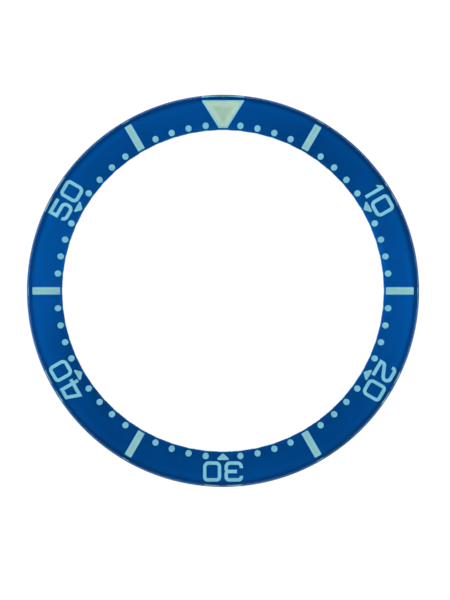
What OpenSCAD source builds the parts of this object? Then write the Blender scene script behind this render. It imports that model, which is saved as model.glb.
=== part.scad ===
// Insert for the bezel of a diving watch: a clear, domed sapphire ring with luminous minute
// marks let into its underside, a blue metallic lacquer and a dark sealing coat behind them,
// and a ring of double-sided tape that holds the insert in the bezel.
// Millimetres. The face looks up +Z, the triangle is at +Y, minutes run clockwise, and
// z = 0 is the underside of the tape.

/* [Crystal ring] */
// Outer diameter of the ring
outer_d = 38; // [34:0.1:44]
// Width of the ring, from its outer wall to the wall of the opening
band_w = 3.45; // [3.1:0.05:4.5]
// Thickness of the crystal at the crest of its dome
crystal_h = 1.6; // [1:0.05:2]
// Radius of the domed face, seen in section
dome_r = 14; // [9:0.5:14.5]
// Distance from the wall of the opening to the crest of the dome
crest_in = 0.8; // [0.5:0.1:1.6]
// Width of the bevel round the outer edge of the face
bevel_w = 0.17; // [0.05:0.01:0.4]
// Width of the bevel round the opening
inner_bevel_w = 0.04; // [0.02:0.01:0.2]
// Width of the fine chamfers on both edges of the underside
break_w = 0.06; // [0.02:0.01:0.12]

/* [Coats and tape] */
// Thickness of the blue metallic lacquer
lacquer_t = 0.04; // [0.02:0.01:0.1]
// Thickness of the dark coat that seals the lacquer
sealer_t = 0.04; // [0.02:0.01:0.1]
// Distance from the fine chamfers to the edges of both coats
coat_inset = 0.04; // [0.02:0.01:0.1]
// Thickness of the adhesive tape
tape_t = 0.15; // [0.05:0.01:0.3]
// Distance from both walls of the crystal to the edges of the tape
tape_inset = 0.3; // [0.2:0.05:0.8]

/* [Luminous marks] */
// Depth of the pockets in the underside of the crystal
pocket_depth = 0.2; // [0.05:0.05:0.5]
// Distance from the outer wall to the outer ends of the marks
mark_rim = 0.59; // [0.35:0.01:0.7]
// Distance from the wall of the opening to the inner ends of the marks
mark_hem = 0.27; // [0.15:0.01:0.4]
// Width of a five-minute bar
bar_w = 0.73; // [0.3:0.01:1.2]
// Width of the triangle at its outer end
triangle_w = 4.21; // [2.5:0.01:5]
// Width of the triangle's cut-off inner end
triangle_tip_w = 0.86; // [0.3:0.01:1.5]
// Diameter of a minute dot
dot_d = 0.61; // [0.3:0.01:0.7]
// Distance from the wall of the opening to the centres of the dots
dot_in = 0.56; // [0.45:0.01:0.9]
// Width of the arrowhead below each numeral
arrow_w = 1.1; // [0.6:0.05:1.6]
// Length of an arrowhead
arrow_h = 0.58; // [0.4:0.01:0.7]
// Length of the straight cheeks beside an arrowhead's base
arrow_cheek = 0.16; // [0.05:0.01:0.3]
// Width of an arrowhead's blunt nose
arrow_nose_w = 0.16; // [0.05:0.01:0.3]
// Radius of the corners of the triangle, the bars and the arrowheads
mark_corner_r = 0.08; // [0.02:0.01:0.12]

/* [Numerals] */
// Gap between an arrowhead and the numeral above it
arrow_gap = 0.11; // [0.05:0.01:0.25]
// Width of the strokes
stroke_w = 0.335; // [0.25:0.005:0.4]
// Radius of the wide turns, to the middle of the stroke
turn_r = 0.37; // [0.25:0.01:0.42]
// Radius of the tight turns, to the middle of the stroke
tight_r = 0.28; // [0.22:0.01:0.35]
// Length of the straight end of a hook
hook_tail = 0.1; // [0.02:0.01:0.2]
// Gap between the two digits of a numeral
digit_gap = 0.31; // [0.15:0.01:0.5]
// Extra gap beside a 1
one_space = 0.17; // [0.02:0.01:0.3]
// Width of a 0
zero_w = 1.76; // [1.5:0.01:2]
// Width of a 1
one_w = 0.65; // [0.5:0.01:0.9]
// Height of the flag on the 1, down to its foot
one_flag = 0.56; // [0.5:0.01:0.8]
// Height of the flag's outer corner below the top of the 1
one_flag_drop = 0.45; // [0.3:0.01:0.48]
// Distance from the left side of the 1 to the foot of its flag
one_flag_foot = 0.08; // [0.02:0.01:0.14]
// Width of a 2
two_w = 1.7; // [1.5:0.01:2]
// Height of the bend in the 2 above its foot
two_heel = 0.03; // [0.01:0.01:0.15]
// Width of a 3
three_w = 1.8; // [1.5:0.01:2]
// Distance from the left side of the 3 to its middle bar
three_bar_in = 0.59; // [0.3:0.01:0.9]
// Depth of the notch in the right side of the 3
three_notch = 0.08; // [0.03:0.01:0.15]
// Height of the mouth of that notch
three_notch_h = 0.32; // [0.1:0.01:0.5]
// Width of a 4
four_w = 2; // [1.7:0.01:2.2]
// Distance from the left side of the 4 to the top of its slanted stroke
four_lean = 0.57; // [0.4:0.01:0.8]
// Height of the foot of the 4 below its crossbar
four_foot = 0.37; // [0.25:0.01:0.5]
// Length of the crossbar of the 4 beyond its stem
four_reach = 0.28; // [0.15:0.01:0.45]
// Width of a 5
five_w = 1.73; // [1.5:0.01:2]
// Height of the middle bar of the 5 above the middle of the numeral
five_rise = 0.115; // [0.05:0.005:0.15]
// Distance from the right side of the 5 to the end of its top bar
five_bar_in = 0.1; // [0.05:0.01:0.3]

/* [Hidden] */
outer_r = outer_d / 2;
inner_r = outer_r - band_w;
half_band = band_w / 2;

// Heights of the layers, from the tape up.
sealer_z = tape_t;
lacquer_z = sealer_z + sealer_t;
crystal_z = lacquer_z + lacquer_t;
crest_z = crystal_z + crystal_h;
crest_r = inner_r + crest_in;
cut_over = 0.1;

// Radial places of the marks.
mark_top = outer_r - mark_rim;
mark_bottom = inner_r + mark_hem;
arrow_base = mark_bottom + arrow_h;
numeral_base = arrow_base + arrow_gap;
numeral_h = mark_top - numeral_base;
half_stroke = stroke_w / 2;

// An arrowhead's short sides limit how round its corners can be.
arrow_corner_r = min(mark_corner_r, arrow_cheek / 2, arrow_nose_w / 2);

minute_angle = 6;
bar_minutes = [5 : 10 : 55];
numeral_minutes = [10 : 10 : 50];
dot_row_minutes = [1 : 5 : 56];
dots_in_row = 4;

ring_fn = 180;
turn_fn = 48;
arc_steps = 12;
corner_steps = 4;
clear_tint = [0.72, 0.86, 0.96, 0.45];
lume_tint = "#a3d2c8";

function two_figures(n) = n < 10 ? str("0", n) : str(n);
function bar_name(m) = str("bar_", two_figures(m));
function tens_name(m) = str("numeral_", m, "_tens");
function units_name(m) = str("numeral_", m, "_units");
function arrow_name(m) = str("arrowhead_", m);
function dots_name(m) = str("dots_", two_figures(m), "_", two_figures(m + dots_in_row - 1));

// The height of the domed face at radius r.
function dome_z(r) = crest_z - dome_r + sqrt(dome_r ^ 2 - (r - crest_r) ^ 2);

function direction(angle) = [cos(angle), sin(angle)];
function unit(v) = v / norm(v);

// Points along an arc round centre c, from angle a0 to angle a1.
function arc_points(c, r, a0, a1, steps = arc_steps) =
    [for (k = [0 : steps]) c + r * direction(a0 + (a1 - a0) * k / steps)];

// A convex outline, given anticlockwise, with every corner rounded to radius r.
function rounded(corners, r) =
    let (count = len(corners))
    [for (k = [0 : count - 1])
        let (
            at = corners[k],
            way_in = unit(at - corners[(k + count - 1) % count]),
            way_out = unit(corners[(k + 1) % count] - at),
            turn = acos(way_in * way_out),
            facing = atan2(way_in[1], way_in[0]) - 90,
            centre = at - way_in * r * tan(turn / 2) - r * direction(facing)
        )
        each arc_points(centre, r, facing, facing + turn, corner_steps)];

// A straight stroke with square ends, between two points of its middle line.
module stroke(a, b) {
    along = unit(b - a);
    side = [-along[1], along[0]] * half_stroke;
    polygon([a + side, a - side, b - side, b + side]);
}

// A quarter turn of stroke round centre c, from angle a0 up to 90 degrees later.
module turn(c, r, a0) {
    translate(c)
        rotate(a0)
            intersection() {
                difference() {
                    circle(r + half_stroke, $fn = turn_fn);
                    circle(r - half_stroke, $fn = turn_fn);
                }
                square(r + stroke_w);
            }
}

// The digits stand on y = 0 with their left side at x = 0.

// A closed loop with tight turns at the top and wide ones at the bottom.
module zero() {
    left = half_stroke;
    right = zero_w - half_stroke;
    low = half_stroke;
    top = numeral_h - half_stroke;
    turn([left + tight_r, top - tight_r], tight_r, 90);
    turn([right - tight_r, top - tight_r], tight_r, 0);
    turn([left + turn_r, low + turn_r], turn_r, 180);
    turn([right - turn_r, low + turn_r], turn_r, 270);
    stroke([left + tight_r, top], [right - tight_r, top]);
    stroke([left + turn_r, low], [right - turn_r, low]);
    stroke([left, low + turn_r], [left, top - tight_r]);
    stroke([right, low + turn_r], [right, top - tight_r]);
}

// A stem with a slanted flag that hangs from its top to the left.
module one() {
    stem_left = one_w - stroke_w;
    corner = numeral_h - one_flag_drop;
    polygon([
        [one_w, 0],
        [one_w, numeral_h],
        [stem_left, numeral_h],
        [0, corner],
        [one_flag_foot, numeral_h - one_flag],
        [stem_left, corner],
        [stem_left, 0]
    ]);
}

// One edge of the stroke of the 2, from its hook over the arch and down a diagonal that is
// tangent to the arch and to the heel. Side 1 is the left edge on the way, side -1 the right.
function two_edge(side) =
    let (
        left = half_stroke,
        top = numeral_h - half_stroke,
        shift = side * half_stroke,
        hook = [left + tight_r, top - tight_r],
        arch = [two_w - half_stroke - turn_r, top - turn_r],
        heel = [left + tight_r, stroke_w + two_heel],
        span = heel - arch,
        slant = atan2(span[1], span[0]) - asin((turn_r + tight_r) / norm(span))
    )
    concat(
        [[left - shift, hook[1] - hook_tail]],
        arc_points(hook, tight_r + shift, 180, 90),
        arc_points(arch, turn_r + shift, 90, slant + 90),
        arc_points(heel, tight_r - shift, slant + 270, 180)
    );

// A hooked arch that runs down a diagonal to a heel and a foot.
module two() {
    right_edge = two_edge(-1);
    polygon(concat(
        two_edge(1),
        [[stroke_w, stroke_w], [two_w, stroke_w], [two_w, 0], [0, 0]],
        [for (k = [len(right_edge) - 1 : -1 : 0]) right_edge[k]]
    ));
}

// Two bowls with hooked left ends, a short bar between them and a notch on the right.
module three() {
    left = half_stroke;
    right = three_w - half_stroke;
    low = half_stroke;
    top = numeral_h - half_stroke;
    middle = numeral_h / 2;
    difference() {
        union() {
            stroke([left, top - tight_r - hook_tail], [left, top - tight_r]);
            turn([left + tight_r, top - tight_r], tight_r, 90);
            stroke([left + tight_r, top], [right - tight_r, top]);
            turn([right - tight_r, top - tight_r], tight_r, 0);
            stroke([right, low + turn_r], [right, top - tight_r]);
            turn([right - turn_r, low + turn_r], turn_r, 270);
            stroke([left + turn_r, low], [right - turn_r, low]);
            turn([left + turn_r, low + turn_r], turn_r, 180);
            stroke([left, low + turn_r], [left, low + turn_r + hook_tail]);
            stroke([three_bar_in, middle], [right, middle]);
        }
        polygon([
            [three_w - three_notch, middle],
            [three_w + three_notch, middle - three_notch_h],
            [three_w + three_notch, middle + three_notch_h]
        ]);
    }
}

// A stem and a slanted stroke joined by a top bar, with a crossbar that passes the stem.
module four() {
    stem_right = four_w - four_reach;
    stem_left = stem_right - stroke_w;
    bar_top = four_foot + stroke_w;
    rise = numeral_h - four_foot;
    run = four_lean / rise;
    slant_w = stroke_w * sqrt(1 + run ^ 2);
    difference() {
        polygon([
            [0, four_foot],
            [four_lean, numeral_h],
            [stem_right, numeral_h],
            [stem_right, bar_top],
            [four_w, bar_top],
            [four_w, four_foot],
            [stem_right, four_foot],
            [stem_right, 0],
            [stem_left, 0],
            [stem_left, four_foot]
        ]);
        polygon([
            [run * stroke_w + slant_w, bar_top],
            [run * (rise - stroke_w) + slant_w, numeral_h - stroke_w],
            [stem_left, numeral_h - stroke_w],
            [stem_left, bar_top]
        ]);
    }
}

// A square-cornered flag above a round bowl with a hooked end.
module five() {
    left = half_stroke;
    right = five_w - half_stroke;
    low = half_stroke;
    top = numeral_h - half_stroke;
    middle = numeral_h / 2 + five_rise;
    bowl_r = min(turn_r, (middle - low) / 2);
    stroke([0, top], [five_w - five_bar_in, top]);
    stroke([left, middle - half_stroke], [left, numeral_h]);
    stroke([left, middle], [right - bowl_r, middle]);
    turn([right - bowl_r, middle - bowl_r], bowl_r, 0);
    if (middle - low > 2 * bowl_r)
        stroke([right, low + bowl_r], [right, middle - bowl_r]);
    turn([right - bowl_r, low + bowl_r], bowl_r, 270);
    stroke([left + turn_r, low], [right - bowl_r, low]);
    turn([left + turn_r, low + turn_r], turn_r, 180);
}

module digit(d) {
    if (d == 0) zero();
    if (d == 1) one();
    if (d == 2) two();
    if (d == 3) three();
    if (d == 4) four();
    if (d == 5) five();
}

function digit_w(d) = [zero_w, one_w, two_w, three_w, four_w, five_w][d];
function pair_gap(d) = d == 1 ? digit_gap + one_space : digit_gap;
function pair_w(d) = digit_w(d) + pair_gap(d) + zero_w;

// Outlines of the marks, seen from the face. Each is drawn at its radius on +Y and turned to
// its minute.
module at_minute(m) {
    rotate(-minute_angle * m) children();
}

module triangle_outline() {
    polygon(rounded([
        [triangle_w / 2, mark_top],
        [-triangle_w / 2, mark_top],
        [-triangle_tip_w / 2, mark_bottom],
        [triangle_tip_w / 2, mark_bottom]
    ], mark_corner_r));
}

module bar_outline(m) {
    at_minute(m)
        polygon(rounded([
            [bar_w / 2, mark_top],
            [-bar_w / 2, mark_top],
            [-bar_w / 2, mark_bottom],
            [bar_w / 2, mark_bottom]
        ], mark_corner_r));
}

module tens_outline(m) {
    d = m / 10;
    at_minute(m) translate([-pair_w(d) / 2, numeral_base]) digit(d);
}

module units_outline(m) {
    d = m / 10;
    at_minute(m) translate([pair_w(d) / 2 - zero_w, numeral_base]) digit(0);
}

module arrow_outline(m) {
    at_minute(m)
        polygon(rounded([
            [arrow_w / 2, arrow_base],
            [-arrow_w / 2, arrow_base],
            [-arrow_w / 2, arrow_base - arrow_cheek],
            [-arrow_nose_w / 2, mark_bottom],
            [arrow_nose_w / 2, mark_bottom],
            [arrow_w / 2, arrow_base - arrow_cheek]
        ], arrow_corner_r));
}

module dots_outline(m) {
    for (k = [0 : dots_in_row - 1])
        at_minute(m + k)
            translate([0, inner_r + dot_in]) circle(d = dot_d, $fn = turn_fn);
}

module all_outlines() {
    triangle_outline();
    for (m = bar_minutes) bar_outline(m);
    for (m = numeral_minutes) {
        tens_outline(m);
        units_outline(m);
        arrow_outline(m);
    }
    for (m = dot_row_minutes) dots_outline(m);
}

// Section of the crystal: a flat underside with fine chamfers, two walls, and two bevels
// that run up into the arc of the dome.
module crystal_section() {
    outer_wall_z = dome_z(outer_r - bevel_w) - bevel_w;
    inner_wall_z = dome_z(inner_r + inner_bevel_w) - inner_bevel_w;
    intersection() {
        polygon([
            [inner_r + break_w, crystal_z],
            [outer_r - break_w, crystal_z],
            [outer_r, crystal_z + break_w],
            [outer_r, outer_wall_z],
            [outer_r - half_band, outer_wall_z + half_band],
            [inner_r + half_band, inner_wall_z + half_band],
            [inner_r, inner_wall_z],
            [inner_r, crystal_z + break_w]
        ]);
        translate([crest_r, crest_z - dome_r]) circle(dome_r, $fn = 8 * ring_fn);
    }
}

module flat_ring(z, t, r_in, r_out) {
    translate([0, 0, z])
        linear_extrude(t)
            difference() {
                circle(r_out, $fn = ring_fn);
                circle(r_in, $fn = ring_fn);
            }
}

// The clear ring, with a pocket in its underside for each luminous mark.
module crystal_ring() {
    color(clear_tint)
        difference() {
            rotate_extrude($fn = ring_fn) crystal_section();
            translate([0, 0, crystal_z - cut_over])
                linear_extrude(pocket_depth + cut_over)
                    all_outlines();
        }
}

// The coats cover the flat of the underside and the filled pockets.
module blue_lacquer() {
    color("#07468c")
        flat_ring(lacquer_z, lacquer_t, inner_r + break_w + coat_inset,
            outer_r - break_w - coat_inset);
}

module sealing_coat() {
    color("#1b2026")
        flat_ring(sealer_z, sealer_t, inner_r + break_w + coat_inset,
            outer_r - break_w - coat_inset);
}

module adhesive_ring() {
    color("#d8d5cc")
        flat_ring(0, tape_t, inner_r + tape_inset, outer_r - tape_inset);
}

// Luminous filling, cast in its pocket and flush with the underside of the crystal.
module filling() {
    color(lume_tint)
        translate([0, 0, crystal_z])
            linear_extrude(pocket_depth)
                children();
}

module triangle_marker() {
    filling() triangle_outline();
}

module minute_bar(m) {
    filling() bar_outline(m);
}

module tens_digit(m) {
    filling() tens_outline(m);
}

module units_digit(m) {
    filling() units_outline(m);
}

module arrowhead(m) {
    filling() arrow_outline(m);
}

module dot_row(m) {
    filling() dots_outline(m);
}

crystal_ring();
blue_lacquer();
sealing_coat();
adhesive_ring();
triangle_marker();
for (m = bar_minutes)
    minute_bar(m);
for (m = numeral_minutes)
    tens_digit(m);
for (m = numeral_minutes)
    units_digit(m);
for (m = numeral_minutes)
    arrowhead(m);
for (m = dot_row_minutes)
    dot_row(m);
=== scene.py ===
import bpy
import numpy as np
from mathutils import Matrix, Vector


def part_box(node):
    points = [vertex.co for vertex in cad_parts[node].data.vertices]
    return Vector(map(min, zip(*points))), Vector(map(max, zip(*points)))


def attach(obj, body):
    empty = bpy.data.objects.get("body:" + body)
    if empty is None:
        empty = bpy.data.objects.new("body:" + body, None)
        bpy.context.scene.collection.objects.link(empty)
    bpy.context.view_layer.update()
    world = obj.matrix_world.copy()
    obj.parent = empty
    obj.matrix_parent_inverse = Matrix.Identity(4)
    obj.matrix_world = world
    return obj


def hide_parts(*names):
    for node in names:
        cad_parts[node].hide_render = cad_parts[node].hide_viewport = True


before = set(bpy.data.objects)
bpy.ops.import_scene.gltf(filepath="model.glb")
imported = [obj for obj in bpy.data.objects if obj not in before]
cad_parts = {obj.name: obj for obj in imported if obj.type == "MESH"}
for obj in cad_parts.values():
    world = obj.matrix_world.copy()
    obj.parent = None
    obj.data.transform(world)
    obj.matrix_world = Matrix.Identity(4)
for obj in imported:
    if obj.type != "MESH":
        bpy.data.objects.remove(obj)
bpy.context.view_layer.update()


# The crystal: a ring ground from clear sapphire, domed and bevelled on its face and flat below,
# with fine chamfers round the underside. It is polished all over, and its face has an
# anti-reflection coat that stops at the outer bevel.
MM = 0.001
DOME_R = 14 * MM
CREST_IN = 0.8 * MM
OUTER_BEVEL = 0.17 * MM
INNER_BEVEL = 0.04 * MM
CHAMFER = 0.06 * MM
SHARP_EDGE_R = 0.015 * MM
CORNER_POINTS = 4
DOME_POINTS = 40
TURN_STEPS = 720
# The crystal reaches this far into the lacquer below it, so that no air shows between them.
WETTING = 0.005 * MM
# What the anti-reflection coat leaves of the face's gloss, and the gloss that the bare bevel
# adds. The change takes this width to either side of the bevel's rim.
COATED_TINT = (0.07, 0.28, 0.38, 1)
BARE_GLOSS = 0.45
COAT_FADE = 0.03 * MM
POLISH_HAZE = 0.03


class Wire:
    """A socket in a material. + and * on it add Math nodes, and node() adds any other node."""

    def __init__(self, tree, socket=None):
        self.tree, self.socket = tree, socket

    def node(self, kind, settings=None, values=None, output=0):
        """A new node: first its settings, then the values or the links of its sockets."""
        made = self.tree.nodes.new(kind)
        for name, value in (settings or {}).items():
            setattr(made, name, value)
        for name, value in (values or {}).items():
            if isinstance(value, Wire):
                self.tree.links.new(value.socket, made.inputs[name])
            else:
                made.inputs[name].default_value = value
        return Wire(self.tree, made.outputs[output])

    def math(self, operation, other):
        return self.node("ShaderNodeMath", {"operation": operation}, {0: self, 1: other})

    def __add__(self, other):
        return self.math("ADD", other)

    def __mul__(self, other):
        return self.math("MULTIPLY", other)

    __radd__, __rmul__ = __add__, __mul__

    def smooth(self, low, high):
        """0 where this is at low, 1 where it is at high, with a smooth step between."""
        return self.node("ShaderNodeMapRange", {"interpolation_type": "SMOOTHSTEP"},
                         {"Value": self, "From Min": low, "From Max": high})

    def blend(self, colour_0, colour_1):
        """A colour that goes from colour_0 to colour_1 as this goes from 0 to 1. The colours are
        sockets 6 and 7 of the Mix node, and its output 2."""
        return self.node("ShaderNodeMix", {"data_type": "RGBA"},
                         {0: self, 6: colour_0, 7: colour_1}, output=2)

    def place(self):
        """Where a point lies, on the piece's own coordinates."""
        return self.node("ShaderNodeTexCoord", output="Object")

    def noise(self, grain, detail):
        """Noise whose lumps are about one grain across."""
        return self.node("ShaderNodeTexNoise", {},
                         {"Vector": self.place(), "Scale": 1 / grain, "Detail": detail})

    def radius(self):
        """The distance from the ring's axis, which is the length of x and y."""
        flat = self.node("ShaderNodeVectorMath", {"operation": "MULTIPLY"},
                         {0: self.place(), 1: (1, 1, 0)})
        return self.node("ShaderNodeVectorMath", {"operation": "LENGTH"}, {0: flat},
                         output="Value")

    def bump(self, depth):
        """The surface normal with this as relief, depth metres from 0 to 1."""
        return self.node("ShaderNodeBump", {}, {"Height": self, "Distance": depth})

    def feed(self, shader, socket):
        self.tree.links.new(self.socket, shader.inputs[socket])


def new_finish(name, **constants):
    """A material with these values on its shader's own sockets: material, shader and wires."""
    material = bpy.data.materials.new(name)
    material.use_nodes = True
    shader = material.node_tree.nodes["Principled BSDF"]
    for socket, value in constants.items():
        shader.inputs[socket.replace("_", " ")].default_value = value
    return material, shader, Wire(material.node_tree)


def vertices_of(node):
    """The corners of a CAD node's mesh, one row each."""
    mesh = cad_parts[node].data
    flat = np.empty(3 * len(mesh.vertices), np.float32)
    mesh.vertices.foreach_get("co", flat)
    return flat.reshape(-1, 3).astype(float)


def extent_of(node):
    """A CAD ring's inner and outer radius, and its lowest and highest point."""
    corners = vertices_of(node)
    radii, heights = np.hypot(corners[:, 0], corners[:, 1]), corners[:, 2]
    return radii.min(), radii.max(), heights.min(), heights.max()


def rounded_corner(before, at, after, radius=SHARP_EDGE_R):
    """Points and outward normals of the arc that rounds a corner of a section: it touches the
    lines from before to at and from at to after, and the body lies on the left of the way."""
    before, at, after = (np.array(p, float) for p in (before, at, after))
    way_in, way_out = (d / np.linalg.norm(d) for d in (at - before, after - at))
    turn = np.arctan2(way_in[0] * way_out[1] - way_in[1] * way_out[0], way_in @ way_out)
    outward = np.array([way_in[1], -way_in[0]])
    centre = at - way_in * radius * np.tan(turn / 2) - outward * radius
    angle = np.arctan2(outward[1], outward[0]) + np.linspace(0, turn, CORNER_POINTS)
    normals = np.stack([np.cos(angle), np.sin(angle)], 1)
    return np.hstack([centre + radius * normals, normals])


def turned(name, section):
    """A ring: the points and normals of a closed section, in radius and height and
    anticlockwise, carried once round the Z axis."""
    angle = np.linspace(0, 2 * np.pi, TURN_STEPS, endpoint=False)
    around = np.stack([np.cos(angle), np.sin(angle)], 1)

    def carried(flat):
        upright = np.broadcast_to(flat[:, None, 1:], (len(flat), TURN_STEPS, 1))
        return np.concatenate([flat[:, None, :1] * around, upright], 2).reshape(-1, 3)

    index = np.arange(len(section) * TURN_STEPS).reshape(len(section), TURN_STEPS)
    beside = np.roll(index, -1, 1)
    faces = np.stack([index, beside, np.roll(beside, -1, 0), np.roll(index, -1, 0)], 2)
    mesh = bpy.data.meshes.new(name)
    mesh.from_pydata(carried(section[:, :2]).tolist(), [], faces.reshape(-1, 4).tolist())
    mesh.shade_smooth()
    mesh.normals_split_custom_set_from_vertices(carried(section[:, 2:]).tolist())
    return bpy.data.objects.new(name, mesh)


def put_in(piece, material, node):
    """Shows a piece in place of a CAD node, with its material."""
    bpy.context.scene.collection.objects.link(piece)
    piece.data.materials.append(material)
    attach(piece, "root")
    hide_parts(node)


inner_r, outer_r, crystal_z, crest_z = extent_of("crystal_ring")
crest_r = inner_r + CREST_IN
crystal_base = crystal_z - WETTING


def dome_point(r):
    """Radius and height of the domed face: an arc about a point under the crest."""
    return np.array([r, crest_z - DOME_R + np.sqrt(DOME_R ** 2 - (r - crest_r) ** 2)])


outer_rim, inner_rim = dome_point(outer_r - OUTER_BEVEL), dome_point(inner_r + INNER_BEVEL)
outer_wall_top = outer_rim + [OUTER_BEVEL, -OUTER_BEVEL]
inner_wall_top = inner_rim + [-INNER_BEVEL, -INNER_BEVEL]
outer_wall_foot, inner_wall_foot = [outer_r, crystal_z + CHAMFER], [inner_r, crystal_z + CHAMFER]
outer_foot, inner_foot = [outer_r - CHAMFER, crystal_base], [inner_r + CHAMFER, crystal_base]
dome = np.stack(dome_point(np.linspace(
    outer_rim[0] - SHARP_EDGE_R, inner_rim[0] + SHARP_EDGE_R, DOME_POINTS)), 1)
dome_normals = (dome - [crest_r, crest_z - DOME_R]) / DOME_R
crystal_section = np.vstack([
    rounded_corner(inner_foot, outer_foot, outer_wall_foot),
    rounded_corner(outer_foot, outer_wall_foot, outer_wall_top),
    rounded_corner(outer_wall_foot, outer_wall_top, outer_rim),
    rounded_corner(outer_wall_top, outer_rim, dome[0]),
    np.hstack([dome, dome_normals]),
    rounded_corner(dome[-1], inner_rim, inner_wall_top),
    rounded_corner(inner_rim, inner_wall_top, inner_wall_foot),
    rounded_corner(inner_wall_top, inner_wall_foot, inner_foot),
    rounded_corner(inner_wall_foot, inner_foot, outer_foot),
])
sapphire, shader, wires = new_finish(
    "sapphire", Base_Color=(1, 1, 1, 1), Transmission_Weight=1.0, IOR=1.77,
    Specular_Tint=COATED_TINT)
(POLISH_HAZE * wires.noise(2.5 * MM, 4).smooth(0.45, 0.75)).feed(shader, "Roughness")
bare = wires.radius().smooth(outer_rim[0] - COAT_FADE, outer_rim[0] + COAT_FADE)
(BARE_GLOSS * bare).feed(shader, "Coat Weight")
put_in(turned("crystal_ring_domed", crystal_section), sapphire, "crystal_ring")


# The luminous marks: pigment in clear resin, cast into the pockets in the crystal's underside.
# The resin runs clearer along a pocket's walls, so each mark has a pale blue rim.
FILL_EDGE_R = 0.03 * MM
# A filling ends this far above the crystal's underside, so that their faces don't coincide.
FILL_LIFT = 0.001 * MM
GRID = 0.03 * MM
# In steps of the grid: its margin round a mark, and how far a point moves to reach the outline.
MARGIN, REACH = 1.5, 0.501
# A triangle smaller than this share of a grid square is a sliver and is left out.
SLIVER = 0.01
# Corners this near to the top of a CAD mesh lie in its top, and points this near are one point.
TOP_BAND, SAME_POINT = 0.001 * MM, 0.0001 * MM
# The pigment sets in between these distances from the outline.
RIM_FROM, RIM_TO = 0.06 * MM, 0.22 * MM
# How much pigment has settled in each kind of mark, from none to a full load.
PIGMENT = {"triangle": 1.0, "bar": 0.6, "numeral": 0.05, "arrowhead": 0.28, "dots": 0.08}
MINUTE = np.radians(6)
# The pigment's colour where the filling is shallow and where it is deep. It deepens between
# these shares of a mark's greatest distance from its outline. Each pair of colours goes from
# the darker patches to the lighter ones.
PALE = (0.60, 0.88, 0.70, 1), (0.67, 0.93, 0.75, 1)
DEEP = (0.43, 0.72, 0.56, 1), (0.48, 0.77, 0.61, 1)
DEEP_FROM, DEEP_TO = 0.35, 0.75
RESIN = (0.28, 0.79, 0.97, 1), (0.31, 0.82, 0.99, 1)
DARK_GRAIN = (0.40, 0.68, 0.54, 1)


def open_sides(faces, count):
    """The sides that only one face has, as their start and end points, of count points."""
    start, end = faces.ravel(), np.roll(faces, -1, 1).ravel()
    alone = ~np.isin(start * count + end, end * count + start)
    return start[alone], end[alone]


def outline_of(node):
    """The outline of a flat node's top: the open sides of its triangles, each from its start to
    its end with the body on the left."""
    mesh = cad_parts[node].data
    corners = np.empty(3 * len(mesh.polygons), np.int32)
    mesh.polygons.foreach_get("vertices", corners)
    places = vertices_of(node)[corners].reshape(-1, 3, 3)
    heights = places[:, :, 2]
    top = places[(heights > heights.max() - TOP_BAND).all(1)][:, :, :2]
    points, number = np.unique(np.round(top.reshape(-1, 2) / SAME_POINT).astype(int), axis=0,
                               return_inverse=True)
    start, end = open_sides(number.reshape(-1, 3), len(points))
    return np.stack([points[start], points[end]], 1) * SAME_POINT


def nearest_on(outline, places):
    """For each place: the nearest point of the outline, the distance to it, and whether the
    place lies inside, which an odd number of sides to its right shows."""
    start, end = outline[:, 0], outline[:, 1]
    side = end - start
    offset = places[:, None] - start
    share = np.clip((offset * side).sum(2) / (side ** 2).sum(1), 0, 1)
    foot = start + share[..., None] * side
    gap = np.linalg.norm(places[:, None] - foot, axis=2)
    best = gap.argmin(1)
    passes = (start[:, 1] > places[:, None, 1]) != (end[:, 1] > places[:, None, 1])
    drop = np.where(side[:, 1] == 0, 1, side[:, 1])
    crossing = start[:, 0] + offset[..., 1] * side[:, 0] / drop
    inside = (passes & (crossing > places[:, None, 0])).sum(1) % 2 == 1
    row = np.arange(len(places))
    return foot[row, best], gap[row, best], inside


def sheet_in(outline):
    """A flat sheet that fills an outline: a square grid, cut into triangles, whose points near
    the outline move onto it. Its points, their distances from the outline, and its faces."""
    low, high = outline.min((0, 1)) - MARGIN * GRID, outline.max((0, 1)) + MARGIN * GRID
    columns, rows = np.ceil((high - low) / GRID).astype(int) + 1
    x, y = np.meshgrid(low[0] + GRID * np.arange(columns), low[1] + GRID * np.arange(rows))
    places = np.stack([x.ravel(), y.ravel()], 1)
    foot, gap, inside = nearest_on(outline, places)
    on = gap <= REACH * GRID
    places[on], gap[on] = foot[on], 0
    inner, outer = inside & ~on, ~inside & ~on

    index = np.arange(rows * columns).reshape(rows, columns)
    cells = np.stack([index[:-1, :-1], index[:-1, 1:], index[1:, 1:], index[1:, :-1]],
                     2).reshape(-1, 4)
    # A square is cut from corner 0 to 2, but from 1 to 3 where corner 0 or 2 lies outside.
    from_0 = np.concatenate([cells[:, [0, 1, 2]], cells[:, [0, 2, 3]]])
    from_1 = np.concatenate([cells[:, [1, 2, 3]], cells[:, [0, 1, 3]]])
    cut_from_1 = np.tile(outer[cells[:, [0, 2]]].any(1), 2)
    faces = np.where(cut_from_1[:, None], from_1, from_0)
    faces = faces[~outer[faces].any(1)]
    a, b, c = (places[faces[:, k]] for k in range(3))
    area = ((b - a)[:, 0] * (c - a)[:, 1] - (b - a)[:, 1] * (c - a)[:, 0]) / 2
    centre_inside = nearest_on(outline, (a + b + c) / 3)[2]
    faces = faces[(area > SLIVER * GRID ** 2) & (centre_inside | inner[faces].any(1))]

    # Points that moved to the same corner of the outline become one.
    first, number = np.unique(np.round(places / SAME_POINT), axis=0, return_index=True,
                              return_inverse=True)[1:]
    used, faces = np.unique(first[number.ravel()][faces], return_inverse=True)
    return places[used], gap[used], faces.reshape(-1, 3)


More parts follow.
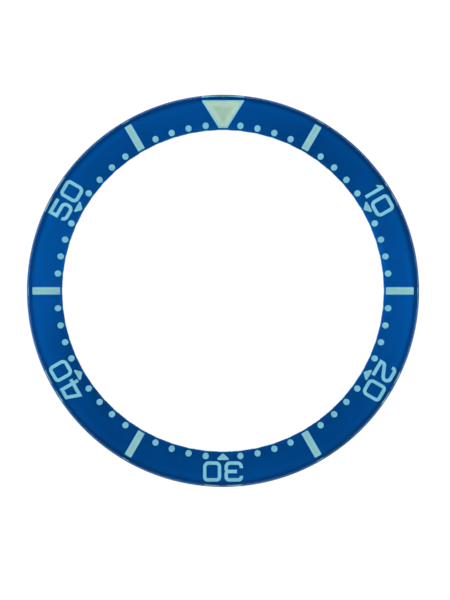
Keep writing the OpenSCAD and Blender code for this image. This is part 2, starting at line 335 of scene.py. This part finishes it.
def filling(name, node, turn):
    """A mark as cast: a top sheet that bends down in a small arc at its edge, a wall down to the
    lacquer, and a second sheet below. The grid is laid with the mark turned upright. pigment is
    the mark's load, less a smooth fall to none at the outline. depth is the distance from the
    outline, as a share of the greatest one."""
    cos, sin = np.cos(turn), np.sin(turn)
    upright = outline_of(node) @ np.array([[cos, -sin], [sin, cos]]).T
    sheet, edge, faces = sheet_in(upright)
    plane = sheet @ np.array([[cos, sin], [-sin, cos]]).T
    inset = np.clip(FILL_EDGE_R - edge, 0, None)
    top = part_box(node)[1].z - FILL_EDGE_R + np.sqrt(FILL_EDGE_R ** 2 - inset ** 2)
    base = np.full_like(top, crystal_base + FILL_LIFT)
    points = np.concatenate([np.column_stack([plane, top]), np.column_stack([plane, base])])
    count = len(plane)
    start, end = open_sides(faces, count)
    wall = np.stack([end, start, start + count, end + count], 1)
    mesh = bpy.data.meshes.new(name)
    mesh.from_pydata(points.tolist(), [],
                     faces.tolist() + (faces[:, ::-1] + count).tolist() + wall.tolist())
    mesh.shade_smooth()
    rise = np.clip((edge - RIM_FROM) / (RIM_TO - RIM_FROM), 0, 1)
    load = PIGMENT[node.split("_")[0]] * rise * rise * (3 - 2 * rise)
    for field, values in (("pigment", load), ("depth", edge / edge.max())):
        mesh.attributes.new(field, "FLOAT", "POINT").data.foreach_set(
            "value", np.tile(values, 2).astype(np.float32))
    return bpy.data.objects.new(name, mesh)


def minute_of(node):
    """The minute a mark is named for, 0 for the triangle."""
    numbers = [word for word in node.split("_") if word.isdigit()]
    return int(numbers[0]) if numbers else 0


lume, shader, wires = new_finish("luminous_filling", Roughness=0.6, Specular_IOR_Level=0.1)
pigment = wires.node("ShaderNodeAttribute", {"attribute_name": "pigment"}, output="Fac")
depth = wires.node("ShaderNodeAttribute", {"attribute_name": "depth"}, output="Fac")
mottle = wires.noise(1.1 * MM, 3).smooth(0.35, 0.65)
speck = wires.noise(0.09 * MM, 1).smooth(0.25, 0.45)
pale, deep, resin = (mottle.blend(*colours) for colours in (PALE, DEEP, RESIN))
cream = speck.blend(DARK_GRAIN, depth.smooth(DEEP_FROM, DEEP_TO).blend(pale, deep))
pigment.blend(resin, cream).feed(shader, "Base Color")
wires.noise(0.05 * MM, 3).bump(0.004 * MM).feed(shader, "Normal")

for node in sorted(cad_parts):
    if node not in ("crystal_ring", "blue_lacquer", "sealing_coat", "adhesive_ring"):
        piece = filling(node + "_cast", node, MINUTE * minute_of(node))
        put_in(piece, lume, node)


# The lacquer: a blue metallic coat sprayed over the underside of the crystal and the backs of
# the marks. Its flakes lie flat and glow where the light comes in from the side.
COAT_EDGE_R = 0.01 * MM
BLUE = (0.001, 0.069, 0.287, 1), (0.001, 0.089, 0.370, 1)
# The coat is painted a lighter blue in a band just inside the outer edge: a painted sheen. Past
# that band the blue is darker towards the outer edge.
SHEEN_BAND_FROM, SHEEN_BAND_TO = outer_r - 1.4 * MM, outer_r - 0.8 * MM
PAINTED_SHEEN_BLUE = (0.001, 0.093, 0.385, 1)
OUTER_DARK_FROM, OUTER_DARK_TO = outer_r - 0.68 * MM, outer_r - 0.44 * MM
OUTER_DARK_BLUE = (0.0005, 0.057, 0.245, 1)


def flat_ring(name, node, radius):
    """A flat ring as wide and high as a CAD node, with its four edges rounded."""
    r_in, r_out, low, high = extent_of(node)
    corners = [[r_in, low], [r_out, low], [r_out, high], [r_in, high]]
    return turned(name, np.vstack([
        rounded_corner(corners[k - 1], corners[k], corners[(k + 1) % 4], radius)
        for k in range(4)]))


lacquer, shader, wires = new_finish("blue_metallic_lacquer", Metallic=1.0, Anisotropic=0.75,
                                    Anisotropic_Rotation=0.25)
flakes = wires.noise(0.06 * MM, 2)
cloud = wires.noise(2.0 * MM, 2)
from_axis = wires.radius()
blue = flakes.smooth(0.3, 0.7).blend(*BLUE)
# Painted sheen: the band just inside the outer edge turns a lighter blue.
blue = from_axis.smooth(SHEEN_BAND_FROM, SHEEN_BAND_TO).blend(blue, PAINTED_SHEEN_BLUE)
# The blue turns darker towards the outer edge.
blue = from_axis.smooth(OUTER_DARK_FROM, OUTER_DARK_TO).blend(blue, OUTER_DARK_BLUE)
blue.feed(shader, "Base Color")
flakes.bump(0.002 * MM).feed(shader, "Normal")
(0.34 + 0.08 * cloud).feed(shader, "Roughness")
put_in(flat_ring("blue_lacquer_sprayed", "blue_lacquer", COAT_EDGE_R), lacquer,
       "blue_lacquer")


# The sealing coat: dark, matt ink printed over the lacquer, which keeps the tape's glue off it.
# It is dried before the tape goes on.
INK = (0.006, 0.008, 0.011, 1), (0.014, 0.017, 0.022, 1)
sealer, shader, wires = new_finish("sealing_ink", Roughness=0.7, Specular_IOR_Level=0.4)
wires.noise(0.3 * MM, 4).blend(*INK).feed(shader, "Base Color")
wires.noise(0.12 * MM, 3).bump(0.006 * MM).feed(shader, "Normal")
put_in(flat_ring("sealing_coat_printed", "sealing_coat", COAT_EDGE_R), sealer,
       "sealing_coat")


# The tape: double-sided, a pale fleece soaked with clear glue, cut to a ring. It holds the
# insert in the bezel, and its liner has been pulled off.
TAPE_EDGE_R = 0.03 * MM
FLEECE = (0.55, 0.53, 0.47, 1), (0.72, 0.70, 0.64, 1)
tape, shader, wires = new_finish("adhesive_tape", Specular_IOR_Level=0.5)
fibres = wires.noise(0.25 * MM, 5)
fibres.smooth(0.3, 0.7).blend(*FLEECE).feed(shader, "Base Color")
(0.3 + 0.3 * fibres).feed(shader, "Roughness")
fibres.bump(0.02 * MM).feed(shader, "Normal")
put_in(flat_ring("adhesive_ring_cut", "adhesive_ring", TAPE_EDGE_R), tape,
       "adhesive_ring")


# The light table: a square of white acrylic, lit from below. The ring lies on it, a hair above,
# so that the tape's face and the table's don't coincide.
FLOOR_HALF = 1.0
FLOOR_DROP = 0.01 * MM
ACRYLIC = (0.09, 0.09, 0.09, 1), (0.1, 0.1, 0.1, 1)
floor_mesh = bpy.data.meshes.new("floor")
floor_mesh.from_pydata([(x * FLOOR_HALF, y * FLOOR_HALF, -FLOOR_DROP) for x, y in (
    (-1, -1), (1, -1), (1, 1), (-1, 1))], [], [(0, 1, 2, 3)])
floor = bpy.data.objects.new("floor", floor_mesh)
bpy.context.scene.collection.objects.link(floor)
acrylic, shader, wires = new_finish(
    "white_acrylic", Roughness=0.5, Specular_IOR_Level=0.1, Emission_Color=(1, 1, 1, 1),
    Emission_Strength=0.93)
wires.noise(3 * MM, 3).blend(*ACRYLIC).feed(shader, "Base Color")
floor_mesh.materials.append(acrylic)


# The studio: a white tent, open above the face and brighter half way up its front, and five
# small soft boxes close by, which light the blue in fans.
TENT_LIGHT = 1.1
# These heights are sines of the elevation: the tent ends between the first two, and it is half
# as bright below the next as it is above the last.
OPENING, OPENING_RIM, SKIRT, SKIRT_TOP = 0.96, 0.87, 0.05, 0.5
TENT_FRONT = np.radians(160)
FRONT_GAIN = 1.6
world = bpy.data.worlds.new("studio")
bpy.context.scene.world = world
world.use_nodes = True
wires = Wire(world.node_tree)
sky = world.node_tree.nodes["Background"]
sky.inputs["Color"].default_value = (1, 1, 1, 1)
direction = wires.node("ShaderNodeTexCoord", output="Generated")
up = wires.node("ShaderNodeSeparateXYZ", {}, {0: direction}, output="Z")
forward = wires.node(
    "ShaderNodeVectorMath", {"operation": "DOT_PRODUCT"},
    {0: direction, 1: (np.sin(TENT_FRONT), np.cos(TENT_FRONT), 0)}, output="Value")
tent = TENT_LIGHT * up.smooth(OPENING, OPENING_RIM) * (0.5 + 0.5 * up.smooth(SKIRT, SKIRT_TOP))
(tent * (1 + FRONT_GAIN * forward * up)).feed(sky, "Strength")

BOX_DISTANCE = 150 * MM
BOX_SIZE = 90 * MM
# Each box's name, its azimuth and elevation in degrees, and its power in watts.
BOXES = (("left", 281, 44, 0.065), ("left_back", 318, 45, 0.030), ("back", 0, 45, 0.058),
         ("right_back", 66, 44, 0.05), ("right", 95, 44, 0.036))
for name, azimuth, elevation, power in BOXES:
    turn, rise = np.radians(azimuth), np.radians(elevation)
    lamp = bpy.data.lights.new("soft_box_" + name, "AREA")
    lamp.shape, lamp.size, lamp.energy = "DISK", BOX_SIZE, power
    box = bpy.data.objects.new("soft_box_" + name, lamp)
    bpy.context.scene.collection.objects.link(box)
    box.location = BOX_DISTANCE * np.array(
        [np.sin(turn) * np.cos(rise), np.cos(turn) * np.cos(rise), np.sin(rise)])
    box.rotation_euler = (np.pi / 2 - rise, 0, np.pi - turn)


# The camera: straight above the face, as in the photo. The frame is measured at the crest, and
# its height is the longer side, which Blender matches to the sensor's width.
CAMERA_HEIGHT = 500 * MM
FRAME_HEIGHT = 58.08 * MM
FRAME_CENTRE = (0.192 * MM, -0.885 * MM)
CLIP_NEAR, CLIP_FAR = 0.01, 10
camera = bpy.data.objects.new("camera", bpy.data.cameras.new("camera"))
bpy.context.scene.collection.objects.link(camera)
bpy.context.scene.camera = camera
camera.location = (*FRAME_CENTRE, CAMERA_HEIGHT + crest_z)
camera.data.lens = camera.data.sensor_width * CAMERA_HEIGHT / FRAME_HEIGHT
camera.data.clip_start, camera.data.clip_end = CLIP_NEAR, CLIP_FAR
bpy.context.scene.view_settings.view_transform = "Standard"
